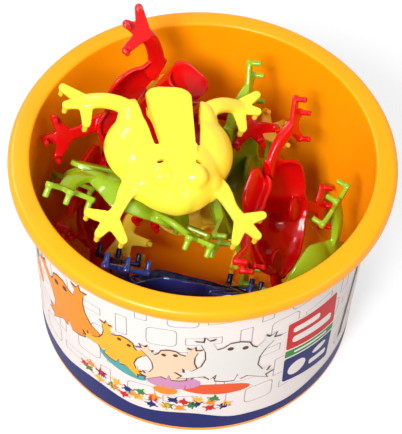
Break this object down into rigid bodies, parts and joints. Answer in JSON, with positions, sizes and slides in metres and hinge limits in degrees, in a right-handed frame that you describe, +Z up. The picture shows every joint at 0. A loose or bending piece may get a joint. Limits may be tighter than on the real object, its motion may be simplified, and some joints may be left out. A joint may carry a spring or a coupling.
{
  "type": "jumping frog toy tub",
  "caption": "Round tub with a rolled rim and a wrapped label, filled with loose moulded frogs that have splayed legs, pegged toes and a sprung tail.",
  "frame": {"origin": "centre of the tub's base", "axes": "+Z up; the middle of the label's panel faces -Y"},
  "size_m": [0.15, 0.15, 0.1335],
  "materials": {
    "tub": "gloss",
    "label_wrap": "satin",
    "yellow": "gloss",
    "red": "gloss",
    "green": "gloss",
    "blue": "gloss"
  },
  "bodies": {
    "tub": {"tub": "tub", "label_wrap": "label_wrap"},
    "heap": {"frog_01_body": "yellow", "frog_02_body": "red", "frog_03_body": "green", "frog_04_body": "yellow", "frog_05_body": "green", "frog_06_body": "red", "frog_07_body": "blue", "frog_09_body": "red"},
    "frog_01_tail": {"frog_01_tail": "yellow"},
    "frog_02_tail": {"frog_02_tail": "red"},
    "frog_03_tail": {"frog_03_tail": "green"},
    "frog_04_tail": {"frog_04_tail": "yellow"},
    "frog_05_tail": {"frog_05_tail": "green"},
    "frog_06_tail": {"frog_06_tail": "red"},
    "frog_07_tail": {"frog_07_tail": "blue"},
    "frog_08": {"frog_08_body": "green"},
    "frog_08_tail": {"frog_08_tail": "green"},
    "frog_09_tail": {"frog_09_tail": "red"},
    "frog_10": {"frog_10_body": "yellow"},
    "frog_10_tail": {"frog_10_tail": "yellow"}
  },
  "joints": [
    {"name": "heap_lift", "type": "slide", "parent": "tub", "child": "heap", "axis": [0, 0, 1], "range_m": [0, 0.11]},
    {"name": "frog_01_tail_flex", "type": "hinge", "parent": "heap", "child": "frog_01_tail", "pos_m": [-0.01234, -0.02482, 0.01574], "axis": [-0.0557, -0.7967, 0.6018], "range_deg": [-22, 5], "stiffness_Nm_per_rad": 0.02},
    {"name": "frog_02_tail_flex", "type": "hinge", "parent": "heap", "child": "frog_02_tail", "pos_m": [-0.04781, 0.02448, 0.03715], "axis": [-0.3905, -0.9199, -0.0349], "range_deg": [-22, 5], "stiffness_Nm_per_rad": 0.02},
    {"name": "frog_03_tail_flex", "type": "hinge", "parent": "heap", "child": "frog_03_tail", "pos_m": [0.0491, -0.02364, 0.03697], "axis": [-0.0911, 0.1869, -0.9781], "range_deg": [-22, 5], "stiffness_Nm_per_rad": 0.02},
    {"name": "frog_04_tail_flex", "type": "hinge", "parent": "heap", "child": "frog_04_tail", "pos_m": [-0.00536, 0.03594, 0.03834], "axis": [-0.1504, -0.7735, -0.6157], "range_deg": [-22, 5], "stiffness_Nm_per_rad": 0.02},
    {"name": "frog_05_tail_flex", "type": "hinge", "parent": "heap", "child": "frog_05_tail", "pos_m": [0.00542, 0.01485, 0.06207], "axis": [-0.1366, -0.9721, -0.1908], "range_deg": [-22, 5], "stiffness_Nm_per_rad": 0.02},
    {"name": "frog_06_tail_flex", "type": "hinge", "parent": "heap", "child": "frog_06_tail", "pos_m": [0.02288, 0.00159, 0.05711], "axis": [-0.2736, -0.9541, -0.1219], "range_deg": [-22, 5], "stiffness_Nm_per_rad": 0.02},
    {"name": "frog_07_tail_flex", "type": "hinge", "parent": "heap", "child": "frog_07_tail", "pos_m": [-0.00873, -0.04507, 0.05742], "axis": [0.0963, -0.6081, 0.788], "range_deg": [-22, 5], "stiffness_Nm_per_rad": 0.02},
    {"name": "frog_08_lift", "type": "slide", "parent": "heap", "child": "frog_08", "axis": [0, -0.5299, 0.848], "range_m": [0, 0.07]},
    {"name": "frog_08_tail_flex", "type": "hinge", "parent": "frog_08", "child": "frog_08_tail", "pos_m": [-0.02393, -0.00608, 0.09006], "axis": [-0.0686, 0.6525, -0.7547], "range_deg": [-22, 5], "stiffness_Nm_per_rad": 0.02},
    {"name": "frog_09_tail_flex", "type": "hinge", "parent": "heap", "child": "frog_09_tail", "pos_m": [-0.0224, 0.03244, 0.08156], "axis": [-0.7323, 0.1826, 0.6561], "range_deg": [-22, 5], "stiffness_Nm_per_rad": 0.02},
    {"name": "frog_10_lift", "type": "slide", "parent": "frog_08", "child": "frog_10", "axis": [0, 0, 1], "range_m": [0, 0.04]},
    {"name": "frog_10_tail_flex", "type": "hinge", "parent": "frog_10", "child": "frog_10_tail", "pos_m": [-0.00983, -0.00934, 0.11642], "axis": [0.9636, 0.1873, -0.1908], "range_deg": [-22, 5], "stiffness_Nm_per_rad": 0.02}
  ]
}
